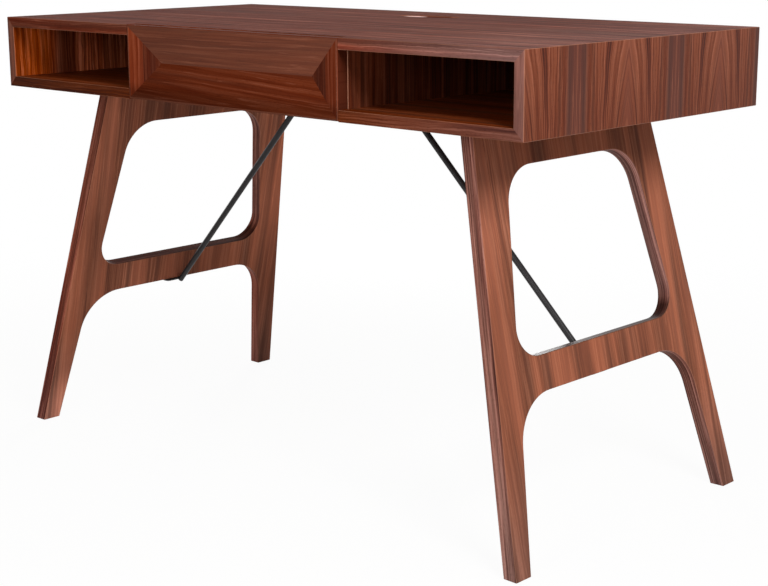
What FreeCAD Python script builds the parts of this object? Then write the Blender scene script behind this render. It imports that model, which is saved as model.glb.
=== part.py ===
import FreeCAD, Part
import math
import os

# A writing desk. A mitred, veneered case holds two open cubbies with a faceted drawer between them.
# Two splayed leg frames carry the case, and a steel tie rod braces each frame to the case's underside.
# Millimetres. X runs along the desk, -Y is the front and +Z is up. The origin is on the floor,
# under the middle of the case.

# Case
DESK_HEIGHT = 765.0
CASE_WIDTH = 1200.0
CASE_DEPTH = 600.0
CASE_HEIGHT = 125.0
PANEL_THICKNESS = 18.0
BACK_THICKNESS = 12.0
BACK_RECESS = 5.0
EDGE_ROUND = 1.0

# Loose tongues glued in the mitred corners
SPLINE_THICKNESS = 4.0
SPLINE_WIDTH = 14.0
SPLINE_STOP = 30.0
SPLINE_SEAT_SHARE = 0.4
MITRE_ANGLE = 45.0

# Dowels that hold the dividers between the top and the bottom panel
DOWEL_DIAMETER = 8.0
DOWEL_LENGTH = 30.0
DOWEL_IN_PANEL = 12.0

# Cable slot through the top and bottom panels, behind the drawer
CABLE_SLOT_LENGTH = 130.0
CABLE_SLOT_WIDTH = 44.0
CABLE_SLOT_FROM_BACK = 113.0
CABLE_SLOT_ROUND = 3.0

# Finger scoop in the bottom panel, behind the lower edge of the drawer front
SCOOP_WIDTH = 150.0
SCOOP_DEPTH = 24.0

# Drawer front, hollowed by four flat facets that fall from a narrow rim to a ridge line
FRONT_WIDTH = 498.0
FRONT_THICKNESS = 20.0
FRONT_GAP = 1.0
FACET_RIM = 3.0
FACET_DEPTH = 15.5
RIDGE_INSET = 70.0

# Drawer box
DRAWER_LENGTH = 400.0
DRAWER_LIFT = 10.0
DRAWER_TOP_CLEARANCE = 15.0
DRAWER_WALL = 12.0
INNER_FRONT_THICKNESS = 14.0
DRAWER_BOTTOM_THICKNESS = 6.0
DRAWER_BOTTOM_RAISE = 6.0
GROOVE_DEPTH = 5.0
BUMPER_DIAMETER = 8.0
BUMPER_PLAY = 0.2
BUMPER_END_INSET = 25.0

# Roller slides
SLIDE_SHEET = 1.2
SLIDE_LIFT = 4.0
DRAWER_ROLLER_DIAMETER = 22.0
ROLLER_WIDTH = 7.0
ROLLER_BEVEL = 0.8
ROLLER_PIN_DIAMETER = 5.0
ROLLER_PIN_HEAD_DIAMETER = 8.0
ROLLER_PIN_HEAD_HEIGHT = 0.9
ROLLER_SIDE_PLAY = 0.3
ROLLER_END_INSET = 15.0
ROLL_CLEARANCE = 0.2
CHANNEL_PLAY = 0.4
PIN_END_GAP = 2.1
FLANGE_END_GAP = 0.8
FLANGE_HEAD_GAP = 1.0
SLIDE_END_INSET = 2.0
FLANGE_TO_ROLLER = 3.0
SLIDE_SCREW_COUNT = 3
SLIDE_SCREW_END_INSET = 60.0

# Leg frames, each cut from one panel that leans outwards
FRAME_TILT = 13.4
FRAME_THICKNESS = 24.0
FOOT_REACH = 591.5
FRAME_SETBACK = 5.5
FRAME_FOOT_SPAN = 591.0
FRAME_TOP_SPAN = 444.0
LEG_FOOT_WIDTH = 34.5
LEG_TOP_WIDTH = 74.0
RAIL_LOWER_EDGE = 248.0
RAIL_DEPTH = 53.0
TOP_RAIL_DEPTH = 64.0
ARCH_RADIUS = 82.0
WINDOW_TOP_RADIUS = 66.0
WINDOW_FOOT_RADIUS = 43.0
FRAME_EDGE_ROUND = 1.2

# Floor glides pressed into the feet
GLIDE_DIAMETER = 19.0
GLIDE_HEIGHT = 1.0
GLIDE_BEVEL = 0.4
GLIDE_SPIGOT_DIAMETER = 6.0
GLIDE_SPIGOT_LENGTH = 14.0

# Bent steel brackets between the leg frames and the case
BRACKET_THICKNESS = 3.0
BRACKET_WIDTH = 60.0
BRACKET_ARM = 32.0
BRACKET_SPACING = 150.0
BRACKET_SCREW_SPACING = 34.0
BRACKET_SCREW_FROM_BEND = 20.0

# Tie rods: round bar with a flat screw tab welded to each end
ROD_DIAMETER = 10.5
ROD_TOP_REACH = 114.5
ROD_TOP_FORWARD = 15.0
ROD_FOOT_BACK = 2.5
ROD_TO_FRAME = 0.1
ROD_OVERHANG = 4.0
TAB_THICKNESS = 2.0
TAB_WIDTH = 20.0
TAB_TOP_LENGTH = 44.0
TAB_FOOT_LENGTH = 38.0
TAB_FOOT_COVER = 15.0
TAB_FOOT_SCREW_FORWARD = 20.0
TAB_SCREW_END_INSET = 9.0

# Wood screws
SCREW_DIAMETER = 4.0
SCREW_LENGTH = 14.0
SCREW_TIP = 3.0
SCREW_HEAD_DIAMETER = 8.0
SCREW_HEAD_HEIGHT = 2.4
SCREW_HEAD_ROUND = 1.2
SLIDE_SCREW_HEAD_DIAMETER = 7.0
SLIDE_SCREW_HEAD_HEIGHT = 1.0
SLIDE_SCREW_HEAD_ROUND = 0.4
FRONT_SCREW_BITE = 5.0
FRONT_SCREW_END_INSET = 12.0
FRONT_SCREW_EDGE_INSET = 14.0
BACK_SCREW_LENGTH = 26.0
BACK_SCREW_EDGE_INSET = 22.0
CROSS_WIDTH = 0.9
CROSS_LENGTH = 4.0
CROSS_DEPTH_SHARE = 0.6

# Clearances and the overrun of cutting shapes
FIT = 0.05
OVERRUN = 8.0

# Levels and places worked out from the sizes above
UNDERSIDE = DESK_HEIGHT - CASE_HEIGHT
FLOOR_LEVEL = UNDERSIDE + PANEL_THICKNESS
CEILING_LEVEL = DESK_HEIGHT - PANEL_THICKNESS
CASE_FRONT = -CASE_DEPTH / 2
CASE_BACK = CASE_DEPTH / 2
CASE_END = CASE_WIDTH / 2
BACK_PANEL_FRONT = CASE_BACK - BACK_RECESS - BACK_THICKNESS
FRONT_REAR_FACE = CASE_FRONT + FRONT_THICKNESS
BAY_FRONT = FRONT_REAR_FACE + FRONT_GAP
BAY_OUTER = FRONT_WIDTH / 2 + FRONT_GAP
BAY_INNER = BAY_OUTER - PANEL_THICKNESS
FRONT_LOW = UNDERSIDE + FRONT_GAP
FRONT_HIGH = DESK_HEIGHT - FRONT_GAP
FRONT_SCREW_LENGTH = INNER_FRONT_THICKNESS + FRONT_SCREW_BITE
ROLLER_BUILD_UP = ROLLER_WIDTH + 2 * ROLLER_SIDE_PLAY + ROLLER_PIN_HEAD_HEIGHT
DRAWER_SIDE_SPACE = 2 * SLIDE_SHEET + ROLLER_BUILD_UP + PIN_END_GAP
SLIDE_FLANGE = DRAWER_SIDE_SPACE - SLIDE_SHEET - FLANGE_END_GAP
DRAWER_OUTER = BAY_INNER - DRAWER_SIDE_SPACE
DRAWER_INNER = DRAWER_OUTER - DRAWER_WALL
DRAWER_LOW = FLOOR_LEVEL + DRAWER_LIFT
DRAWER_HIGH = CEILING_LEVEL - DRAWER_TOP_CLEARANCE
DRAWER_REAR = FRONT_REAR_FACE + DRAWER_LENGTH
DRAWER_BOTTOM_LOW = DRAWER_LOW + DRAWER_BOTTOM_RAISE
DRAWER_BOTTOM_HIGH = DRAWER_BOTTOM_LOW + DRAWER_BOTTOM_THICKNESS
CABLE_SLOT_Y = CASE_BACK - CABLE_SLOT_FROM_BACK
CHANNEL_LOW = FLOOR_LEVEL + SLIDE_LIFT
CHANNEL_FLOOR = CHANNEL_LOW + SLIDE_SHEET
CHANNEL_CEILING = CHANNEL_FLOOR + ROLL_CLEARANCE + DRAWER_ROLLER_DIAMETER + CHANNEL_PLAY
SLIDE_FRONT = BAY_FRONT + SLIDE_END_INSET
SLIDE_REAR = DRAWER_REAR - SLIDE_END_INSET
DRAWER_ROLLER_Y = SLIDE_REAR - ROLLER_END_INSET
CASE_ROLLER_Y = SLIDE_FRONT + ROLLER_END_INSET
ROLLER_Z = CHANNEL_FLOOR + ROLL_CLEARANCE + DRAWER_ROLLER_DIAMETER / 2
DRAWER_FLANGE_LOW = CHANNEL_CEILING - FLANGE_HEAD_GAP - SLIDE_SHEET
CASE_ROLLER_DIAMETER = 2 * (DRAWER_FLANGE_LOW - ROLL_CLEARANCE - ROLLER_Z)
TILT = math.radians(FRAME_TILT)
SIDES = {"left": -1, "right": 1}
ENDS = {"front": -1, "rear": 1}


def vec(x, y, z):
    return FreeCAD.Vector(x, y, z)


def block(x0, x1, y0, y1, z0, z1):
    """A box between two corners, given in any order along each axis."""
    low = vec(min(x0, x1), min(y0, y1), min(z0, z1))
    return Part.makeBox(abs(x1 - x0), abs(y1 - y0), abs(z1 - z0), low)


def polygon_face(points):
    return Part.Face(Part.makePolygon(points + points[:1]))


def prism(points, along):
    return polygon_face(points).extrude(along)


def rounded_corners(points, radii):
    """A closed wire through the points, with an arc of its radius at each corner that has one."""
    starts, ends, arcs = [], [], []
    count = len(points)
    for i, (corner, radius) in enumerate(zip(points, radii)):
        back = (points[i - 1] - corner).normalize()
        on = (points[(i + 1) % count] - corner).normalize()
        if not radius:
            starts.append(corner)
            ends.append(corner)
            arcs.append(None)
            continue
        half = back.getAngle(on) / 2
        middle = (back + on).normalize()
        centre = corner + middle * (radius / math.sin(half))
        starts.append(corner + back * (radius / math.tan(half)))
        ends.append(corner + on * (radius / math.tan(half)))
        arcs.append(Part.Arc(starts[i], centre - middle * radius, ends[i]).toShape())
    edges = []
    for i in range(count):
        if arcs[i]:
            edges.append(arcs[i])
        edges.append(Part.LineSegment(ends[i], starts[(i + 1) % count]).toShape())
    return Part.Wire(edges)


def round_edges(shape, radius, wanted):
    """Rounds the edges for which wanted(edge) is true."""
    return shape.makeFillet(radius, [edge for edge in shape.Edges if wanted(edge)])


def edge_in_plane(edge, axis, level):
    """True where the whole edge lies at one level of x, y or z."""
    box = edge.BoundBox
    low, high = {"x": (box.XMin, box.XMax), "y": (box.YMin, box.YMax), "z": (box.ZMin, box.ZMax)}[axis]
    return abs(low - level) < FIT and abs(high - level) < FIT


def edge_along(edge, axis):
    box = edge.BoundBox
    spans = {"x": box.XLength, "y": box.YLength, "z": box.ZLength}
    return all(span < FIT for name, span in spans.items() if name != axis)


def spread(low, high, count):
    """Places from low to high, evenly spaced."""
    return [low + (high - low) * i / (count - 1) for i in range(count)]


def group(solids):
    return Part.Compound(list(solids))


# Wood screws. A place is the point under the head and the way that the shank goes.


def wood_screw(place, length, head_diameter, head_height, head_round):
    seat, way = place
    down = vec(0, 0, -1)
    shank = Part.makeCylinder(SCREW_DIAMETER / 2, length - SCREW_TIP, vec(0, 0, 0), down)
    tip = Part.makeCone(SCREW_DIAMETER / 2, 0, SCREW_TIP, vec(0, 0, SCREW_TIP - length), down)
    head = Part.makeCylinder(head_diameter / 2, head_height)
    head = round_edges(head, head_round, lambda edge: edge_in_plane(edge, "z", head_height))
    screw = head.fuse([shank, tip]).removeSplitter()
    reach = CROSS_LENGTH / 2
    low = head_height * (1 - CROSS_DEPTH_SHARE)
    for half_x, half_y in ((reach, CROSS_WIDTH / 2), (CROSS_WIDTH / 2, reach)):
        screw = screw.cut(block(-half_x, half_x, -half_y, half_y, low, head_height + OVERRUN))
    screw.Placement = FreeCAD.Placement(seat, FreeCAD.Rotation(down, way))
    return screw


def plain_screws(places, length=SCREW_LENGTH):
    head = (SCREW_HEAD_DIAMETER, SCREW_HEAD_HEIGHT, SCREW_HEAD_ROUND)
    return group(wood_screw(place, length, *head) for place in places)


def slide_screws(places):
    head = (SLIDE_SCREW_HEAD_DIAMETER, SLIDE_SCREW_HEAD_HEIGHT, SLIDE_SCREW_HEAD_ROUND)
    return group(wood_screw(place, SCREW_LENGTH, *head) for place in places)


def drilled(shape, places, length=SCREW_LENGTH):
    """The shape with a hole for each screw."""
    for seat, way in places:
        shape = shape.cut(Part.makeCylinder(SCREW_DIAMETER / 2 + FIT, length + FIT, seat, way))
    return shape


# Case panels


def case_shell():
    """The four case panels as one tube, open at the front and the back."""
    outer = block(-CASE_END, CASE_END, CASE_FRONT, CASE_BACK, UNDERSIDE, DESK_HEIGHT)
    outer = outer.makeFillet(EDGE_ROUND, outer.Edges)
    inside = CASE_END - PANEL_THICKNESS
    hollow = block(
        -inside, inside, CASE_FRONT - OVERRUN, CASE_BACK + OVERRUN, FLOOR_LEVEL, CEILING_LEVEL
    )
    tube = outer.cut(hollow)

    def inner_rim(edge):
        on_rim = edge_in_plane(edge, "y", CASE_FRONT) or edge_in_plane(edge, "y", CASE_BACK)
        box = edge.BoundBox
        within = max(abs(box.XMin), abs(box.XMax)) < inside + FIT
        return on_rim and within and box.ZMin > FLOOR_LEVEL - FIT and box.ZMax < CEILING_LEVEL + FIT

    return round_edges(tube, EDGE_ROUND, inner_rim)


def mitre_wedge(corner_levels):
    """A prism through the whole depth, bounded by the mitre planes of one panel."""
    points = [vec(x, CASE_FRONT - OVERRUN, z) for x, z in corner_levels]
    return prism(points, vec(0, CASE_DEPTH + 2 * OVERRUN, 0))


def flat_panel_wedge(up):
    half = CASE_HEIGHT / 2
    middle = UNDERSIDE + half
    far = middle + up * (half + OVERRUN)
    reach = CASE_END + OVERRUN
    return mitre_wedge([(-reach, far), (reach, far), (CASE_END - half, middle), (half - CASE_END, middle)])


def side_panel_wedge(side):
    half = CASE_HEIGHT / 2
    middle = UNDERSIDE + half
    reach = side * (CASE_END + OVERRUN)
    return mitre_wedge(
        [(reach, DESK_HEIGHT + OVERRUN), (side * (CASE_END - half), middle), (reach, UNDERSIDE - OVERRUN)]
    )


def corner_spline(side, up, clearance=0.0):
    """The tongue across one mitre, or its groove when there is a clearance."""
    seat = PANEL_THICKNESS * SPLINE_SEAT_SHARE
    x = CASE_END - PANEL_THICKNESS + seat
    z = CEILING_LEVEL + seat if up > 0 else FLOOR_LEVEL - seat
    half_length = CASE_DEPTH / 2 - SPLINE_STOP + clearance
    half_width = SPLINE_WIDTH / 2 + clearance
    half_thickness = SPLINE_THICKNESS / 2 + clearance
    tongue = block(-half_width, half_width, -half_length, half_length, -half_thickness, half_thickness)
    turn = FreeCAD.Rotation(vec(0, 1, 0), side * up * MITRE_ANGLE)
    tongue.Placement = FreeCAD.Placement(vec(side * x, 0, z), turn)
    return tongue


def cable_slot_cutter():
    """An oval prism through both flat panels."""
    centre = vec(0, CABLE_SLOT_Y, UNDERSIDE - OVERRUN)
    oval = Part.Ellipse(centre, CABLE_SLOT_LENGTH / 2, CABLE_SLOT_WIDTH / 2)
    face = Part.Face(Part.Wire(oval.toShape()))
    return face.extrude(vec(0, 0, CASE_HEIGHT + 2 * OVERRUN))


def dowel_places():
    """Pairs of a point in the joint plane and the way into the panel, for both dividers."""
    screw_rows = slide_screw_rows()
    # The dowels stand between the slide screws that enter the dividers from the side.
    half_pitch = (screw_rows[1] - screw_rows[0]) / 2
    rows = [row + half_pitch for row in screw_rows]
    x = BAY_OUTER - PANEL_THICKNESS / 2
    return [
        (vec(side * x, y, level), way)
        for side in SIDES.values()
        for level, way in ((FLOOR_LEVEL, -1), (CEILING_LEVEL, 1))
        for y in rows
    ]


def dowels(clearance=0.0):
    pins = []
    for joint, way in dowel_places():
        far = joint + vec(0, 0, way * (DOWEL_IN_PANEL + clearance))
        length = DOWEL_LENGTH + 2 * clearance
        pins.append(Part.makeCylinder(DOWEL_DIAMETER / 2 + clearance, length, far, vec(0, 0, -way)))
    return group(pins)


def bay_notch():
    """The front of both flat panels is cut back across the drawer."""
    return block(
        -BAY_OUTER, BAY_OUTER, CASE_FRONT - OVERRUN, BAY_FRONT, UNDERSIDE - OVERRUN, DESK_HEIGHT + OVERRUN
    )


def flat_panel(shell, up):
    panel = shell.common(flat_panel_wedge(up)).cut(bay_notch())
    panel = panel.cut([corner_spline(side, up, FIT) for side in SIDES.values()])
    return panel.cut([dowels(FIT), cable_slot_cutter()])


def top_panel(shell):
    panel = flat_panel(shell, 1)

    def slot_rim(edge):
        box = edge.BoundBox
        inside_slot = max(abs(box.XMin), abs(box.XMax)) < CABLE_SLOT_LENGTH / 2 + FIT
        return inside_slot and edge_in_plane(edge, "z", DESK_HEIGHT)

    return round_edges(panel, CABLE_SLOT_ROUND, slot_rim)


def bottom_panel(shell):
    panel = flat_panel(shell, -1)
    half = SCOOP_WIDTH / 2
    low = UNDERSIDE - OVERRUN
    ends = [vec(-half, BAY_FRONT, low), vec(half, BAY_FRONT, low)]
    curve = Part.Arc(ends[0], vec(0, BAY_FRONT + SCOOP_DEPTH, low), ends[1]).toShape()
    lip = Part.makePolygon(
        [ends[1], vec(half, BAY_FRONT - OVERRUN, low), vec(-half, BAY_FRONT - OVERRUN, low), ends[0]]
    )
    scoop = Part.Face(Part.Wire([curve] + lip.Edges)).extrude(vec(0, 0, CASE_HEIGHT / 2))
    panel = panel.cut(scoop)
    for side in SIDES.values():
        panel = drilled(panel, bracket_case_screws(side))
        panel = drilled(panel, tab_top_screws(side))
    return panel


def side_panel(shell, side):
    panel = shell.common(side_panel_wedge(side))
    return panel.cut([corner_spline(side, up, FIT) for up in (-1, 1)])


def divider(side):
    board = block(
        side * BAY_INNER, side * BAY_OUTER, BAY_FRONT, BACK_PANEL_FRONT, FLOOR_LEVEL, CEILING_LEVEL
    )
    board = round_edges(
        board, EDGE_ROUND, lambda edge: edge_in_plane(edge, "y", BAY_FRONT) and edge_along(edge, "z")
    )
    board = board.cut(dowels(FIT))
    board = drilled(board, case_rail_screws(side))
    return drilled(board, back_screws(side), BACK_SCREW_LENGTH)


def back_screws(side):
    x = side * (BAY_OUTER - PANEL_THICKNESS / 2)
    levels = (FLOOR_LEVEL + BACK_SCREW_EDGE_INSET, CEILING_LEVEL - BACK_SCREW_EDGE_INSET)
    return [(vec(x, BACK_PANEL_FRONT + BACK_THICKNESS, z), vec(0, -1, 0)) for z in levels]


def back_panel():
    inside = CASE_END - PANEL_THICKNESS
    rear = BACK_PANEL_FRONT + BACK_THICKNESS
    board = block(-inside, inside, BACK_PANEL_FRONT, rear, FLOOR_LEVEL, CEILING_LEVEL)
    for side in SIDES.values():
        board = drilled(board, back_screws(side), BACK_SCREW_LENGTH)
    return board


# Leg frames. A frame is drawn on its outer face: y along the desk's depth, and height above the floor.


def frame_point(side, y, height, depth=0.0):
    """A point of a leg frame, from its outer face's y and height, and the depth into the panel."""
    x = FOOT_REACH - height * math.tan(TILT) - depth * math.cos(TILT)
    return vec(side * x, FRAME_SETBACK + y, height - depth * math.sin(TILT))


def frame_inwards(side):
    """The way from a frame's outer face to its inner face."""
    return vec(-side * math.cos(TILT), 0, -math.sin(TILT))


def frame_upwards(side):
    return vec(-side * math.sin(TILT), 0, math.cos(TILT))


def leg_outer(height):
    return (FRAME_FOOT_SPAN - (FRAME_FOOT_SPAN - FRAME_TOP_SPAN) * height / UNDERSIDE) / 2


def leg_inner(height):
    width = LEG_FOOT_WIDTH + (LEG_TOP_WIDTH - LEG_FOOT_WIDTH) * height / UNDERSIDE
    return leg_outer(height) - width


def frame_outline(side):
    """Legs and rails with the arch under the rail, run past the floor and the case."""
    low = -OVERRUN
    high = UNDERSIDE + 2 * OVERRUN
    corners = [
        (-leg_outer(low), low, 0),
        (-leg_outer(high), high, 0),
        (leg_outer(high), high, 0),
        (leg_outer(low), low, 0),
        (leg_inner(low), low, 0),
        (leg_inner(RAIL_LOWER_EDGE), RAIL_LOWER_EDGE, ARCH_RADIUS),
        (-leg_inner(RAIL_LOWER_EDGE), RAIL_LOWER_EDGE, ARCH_RADIUS),
        (-leg_inner(low), low, 0),
    ]
    return rounded_corners([frame_point(side, y, h) for y, h, r in corners], [r for y, h, r in corners])


def frame_window(side):
    low = RAIL_LOWER_EDGE + RAIL_DEPTH
    high = UNDERSIDE - TOP_RAIL_DEPTH
    corners = [
        (-leg_inner(low), low, WINDOW_FOOT_RADIUS),
        (-leg_inner(high), high, WINDOW_TOP_RADIUS),
        (leg_inner(high), high, WINDOW_TOP_RADIUS),
        (leg_inner(low), low, WINDOW_FOOT_RADIUS),
    ]
    return rounded_corners([frame_point(side, y, h) for y, h, r in corners], [r for y, h, r in corners])


def leg_frame(side):
    through = frame_inwards(side) * FRAME_THICKNESS
    board = Part.Face(frame_outline(side)).extrude(through)
    board = board.cut(Part.Face(frame_window(side)).extrude(through))

    def on_a_face(edge):
        middle = edge.valueAt((edge.FirstParameter + edge.LastParameter) / 2)
        depth = (middle - frame_point(side, 0, 0)).dot(frame_inwards(side))
        return min(abs(depth), abs(depth - FRAME_THICKNESS)) < FIT

    board = round_edges(board, FRAME_EDGE_ROUND, on_a_face)
    reach = FOOT_REACH + OVERRUN
    depth = FRAME_FOOT_SPAN
    board = board.common(block(-reach, reach, -depth, depth, GLIDE_HEIGHT, UNDERSIDE))
    board = board.cut([glide_spigot(side, end, FIT) for end in ENDS.values()])
    board = drilled(board, bracket_frame_screws(side))
    return drilled(board, tab_foot_screws(side))


def glide_centre(side, end):
    """The middle of a foot where it meets the glide."""
    y = end * (leg_outer(0) + leg_inner(0)) / 2
    x = FOOT_REACH - FRAME_THICKNESS / math.cos(TILT) / 2
    return vec(side * x, FRAME_SETBACK + y, 0)


def glide_spigot(side, end, clearance=0.0):
    height = GLIDE_HEIGHT + GLIDE_SPIGOT_LENGTH + clearance
    return Part.makeCylinder(GLIDE_SPIGOT_DIAMETER / 2 + clearance, height, glide_centre(side, end))


def floor_glide(side, end):
    disc = Part.makeCylinder(GLIDE_DIAMETER / 2, GLIDE_HEIGHT, glide_centre(side, end))
    disc = disc.makeChamfer(GLIDE_BEVEL, [edge for edge in disc.Edges if edge_in_plane(edge, "z", 0)])
    return disc.fuse(glide_spigot(side, end)).removeSplitter()


# Brackets. The bend follows the line where a frame's inner face meets the case's underside.


def bracket_bend(side):
    x = FOOT_REACH - UNDERSIDE * math.tan(TILT) - FRAME_THICKNESS / math.cos(TILT)
    return vec(side * x, FRAME_SETBACK, UNDERSIDE)


def bracket_case_screws(side):
    seat = bracket_bend(side) + vec(-side * BRACKET_SCREW_FROM_BEND, 0, -BRACKET_THICKNESS)
    return bracket_screw_rows(seat, vec(0, 0, 1))


def bracket_frame_screws(side):
    seat = bracket_bend(side) - frame_upwards(side) * BRACKET_SCREW_FROM_BEND
    return bracket_screw_rows(seat + frame_inwards(side) * BRACKET_THICKNESS, -frame_inwards(side))


def bracket_screw_rows(seat, way):
    half_pair = BRACKET_SCREW_SPACING / 2
    return [
        (seat + vec(0, end * BRACKET_SPACING / 2 + pair * half_pair, 0), way)
        for end in ENDS.values()
        for pair in (-1, 1)
    ]


def frame_bracket(side, end):
    bend = bracket_bend(side)
    inwards = vec(-side, 0, 0)
    down = -frame_upwards(side)
    sheet_in = frame_inwards(side) * BRACKET_THICKNESS
    sheet_down = vec(0, 0, -BRACKET_THICKNESS)
    # The inside of the bend is where the two inner sheet faces meet.
    inner_bend = bend + inwards * (BRACKET_THICKNESS * (1 - math.sin(TILT)) / math.cos(TILT)) + sheet_down
    points = [
        bend,
        bend + inwards * BRACKET_ARM,
        bend + inwards * BRACKET_ARM + sheet_down,
        inner_bend,
        bend + down * BRACKET_ARM + sheet_in,
        bend + down * BRACKET_ARM,
    ]
    start = vec(0, end * BRACKET_SPACING / 2 - BRACKET_WIDTH / 2, 0)
    bracket = prism([point + start for point in points], vec(0, BRACKET_WIDTH, 0))
    return drilled(drilled(bracket, bracket_case_screws(side)), bracket_frame_screws(side))


# Tie rods. The upper tab lies under the case. The lower tab runs forwards under the frame's rail.


def rail_inner_edge(side):
    """The lower edge of a rail on the frame's inner face, in line with the foot of the tie rod."""
    return frame_point(side, ROD_FOOT_BACK, RAIL_LOWER_EDGE, FRAME_THICKNESS)


def rod_foot(side):
    """Where the bar's axis passes the level of the rail's lower face, with the bar just clear of the edge."""
    edge = rail_inner_edge(side)
    lean = (rod_top(side) - edge).getAngle(frame_upwards(side))
    return edge + frame_inwards(side) * ((ROD_DIAMETER / 2 + ROD_TO_FRAME) / math.cos(lean))


def rod_top(side):
    return vec(side * ROD_TOP_REACH, FRAME_SETBACK - ROD_TOP_FORWARD, UNDERSIDE)


def foot_tab_root(side):
    """The start of the lower tab's middle line, on the rail's lower face."""
    return rail_inner_edge(side) - frame_inwards(side) * (TAB_FOOT_COVER - TAB_WIDTH / 2)


def tab_top_screws(side):
    seat = rod_top(side) - vec(0, 0, TAB_THICKNESS)
    runs = (ROD_DIAMETER + TAB_SCREW_END_INSET, TAB_TOP_LENGTH - TAB_SCREW_END_INSET)
    return [(seat - vec(side * run, 0, 0), vec(0, 0, 1)) for run in runs]


def tab_foot_screws(side):
    upwards = frame_upwards(side)
    seat = foot_tab_root(side) - vec(0, TAB_FOOT_SCREW_FORWARD, 0) - upwards * TAB_THICKNESS
    return [(seat, upwards)]


def rounded_tab(start, end, half_width, face_up):
    """A flat bar from start to end with a round far end, under the face that they lie on."""
    neck = end - (end - start).normalize() * half_width.Length
    arc = Part.Arc(neck - half_width, end, neck + half_width).toShape()
    sides = [neck + half_width, start + half_width, start - half_width, neck - half_width]
    return Part.Face(Part.Wire([arc] + Part.makePolygon(sides).Edges)).extrude(face_up * -TAB_THICKNESS)


def tie_rod(side):
    top, foot = rod_top(side), rod_foot(side)
    along = (top - foot).normalize()
    bar = Part.makeCylinder(
        ROD_DIAMETER / 2, (top - foot).Length + 2 * OVERRUN, foot - along * ROD_OVERHANG, along
    )
    # The bar ends square below the rail, and level with the upper face of the top tab.
    reach = CASE_END + FOOT_REACH
    bar = bar.common(block(-reach, reach, -reach, reach, 0, UNDERSIDE))
    half = TAB_WIDTH / 2
    top_tab = rounded_tab(
        top + vec(side * ROD_DIAMETER, 0, 0),
        top - vec(side * TAB_TOP_LENGTH, 0, 0),
        vec(0, half, 0),
        vec(0, 0, 1),
    )
    root = foot_tab_root(side)
    foot_tab = rounded_tab(
        root + vec(0, ROD_DIAMETER / 2, 0),
        root - vec(0, TAB_FOOT_LENGTH, 0),
        frame_inwards(side) * half,
        frame_upwards(side),
    )
    rod = bar.fuse([top_tab, foot_tab]).removeSplitter()
    return drilled(drilled(rod, tab_top_screws(side)), tab_foot_screws(side))


# Drawer


def drawer_front():
    half = FRONT_WIDTH / 2
    front = block(-half, half, CASE_FRONT, FRONT_REAR_FACE, FRONT_LOW, FRONT_HIGH)
    front = round_edges(front, EDGE_ROUND, lambda edge: not edge_in_plane(edge, "y", FRONT_REAR_FACE))
    front = front.cut(facet_hollow())
    return drilled(front, front_screws(), FRONT_SCREW_LENGTH)


def facet_hollow():
    """The hollow that four facets bound, run on past the front face."""
    middle = (FRONT_LOW + FRONT_HIGH) / 2
    half_height = (FRONT_HIGH - FRONT_LOW) / 2 - FACET_RIM
    half_width = FRONT_WIDTH / 2 - FACET_RIM
    ridge_half = FRONT_WIDTH / 2 - RIDGE_INSET
    grow = 1 + OVERRUN / FACET_DEPTH
    mouth_y = CASE_FRONT - OVERRUN
    mouth_x = ridge_half + (half_width - ridge_half) * grow
    mouth_z = half_height * grow
    mouth = [
        vec(sx * mouth_x, mouth_y, middle + sz * mouth_z) for sx, sz in ((-1, -1), (1, -1), (1, 1), (-1, 1))
    ]
    ridge = [vec(sx * ridge_half, CASE_FRONT + FACET_DEPTH, middle) for sx in (-1, 1)]
    facets = [
        mouth,
        [mouth[0], mouth[1], ridge[1], ridge[0]],
        [mouth[1], mouth[2], ridge[1]],
        [mouth[2], mouth[3], ridge[0], ridge[1]],
        [mouth[3], mouth[0], ridge[0]],
    ]
    return Part.Solid(Part.Shell([polygon_face(points) for points in facets]))


def front_screws():
    x = DRAWER_INNER - FRONT_SCREW_END_INSET
    levels = (DRAWER_BOTTOM_HIGH + SCREW_HEAD_DIAMETER, DRAWER_HIGH - FRONT_SCREW_EDGE_INSET)
    y = FRONT_REAR_FACE + INNER_FRONT_THICKNESS
    return [(vec(side * x, y, z), vec(0, -1, 0)) for side in SIDES.values() for z in levels]


def drawer_bottom(clearance=0.0):
    reach = DRAWER_INNER + GROOVE_DEPTH + clearance
    front = FRONT_REAR_FACE + INNER_FRONT_THICKNESS - GROOVE_DEPTH - clearance
    low = DRAWER_BOTTOM_LOW - clearance
    return block(-reach, reach, front, DRAWER_REAR + clearance, low, DRAWER_BOTTOM_HIGH + clearance)


def drawer_side(side):
    board = block(
        side * DRAWER_INNER, side * DRAWER_OUTER, FRONT_REAR_FACE, DRAWER_REAR, DRAWER_LOW, DRAWER_HIGH
    )
    board = round_edges(
        board, EDGE_ROUND, lambda edge: edge_in_plane(edge, "z", DRAWER_HIGH) and edge_along(edge, "y")
    )
    board = board.cut(drawer_bottom(FIT))
    return drilled(board, drawer_rail_screws(side))


def drawer_inner_front():
    rear = FRONT_REAR_FACE + INNER_FRONT_THICKNESS
    board = block(-DRAWER_INNER, DRAWER_INNER, FRONT_REAR_FACE, rear, DRAWER_LOW, DRAWER_HIGH)
    return drilled(board.cut(drawer_bottom(FIT)), front_screws(), FRONT_SCREW_LENGTH)


def drawer_back():
    front = DRAWER_REAR - DRAWER_WALL
    return block(-DRAWER_INNER, DRAWER_INNER, front, DRAWER_REAR, DRAWER_BOTTOM_HIGH + FIT, DRAWER_HIGH)


def drawer_bumpers():
    x = BAY_OUTER - PANEL_THICKNESS / 2
    levels = (FLOOR_LEVEL + BUMPER_END_INSET, CEILING_LEVEL - BUMPER_END_INSET)
    return group(
        Part.makeCylinder(
            BUMPER_DIAMETER / 2, FRONT_GAP - BUMPER_PLAY, vec(side * x, FRONT_REAR_FACE, z), vec(0, 1, 0)
        )
        for side in SIDES.values()
        for z in levels
    )


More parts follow.
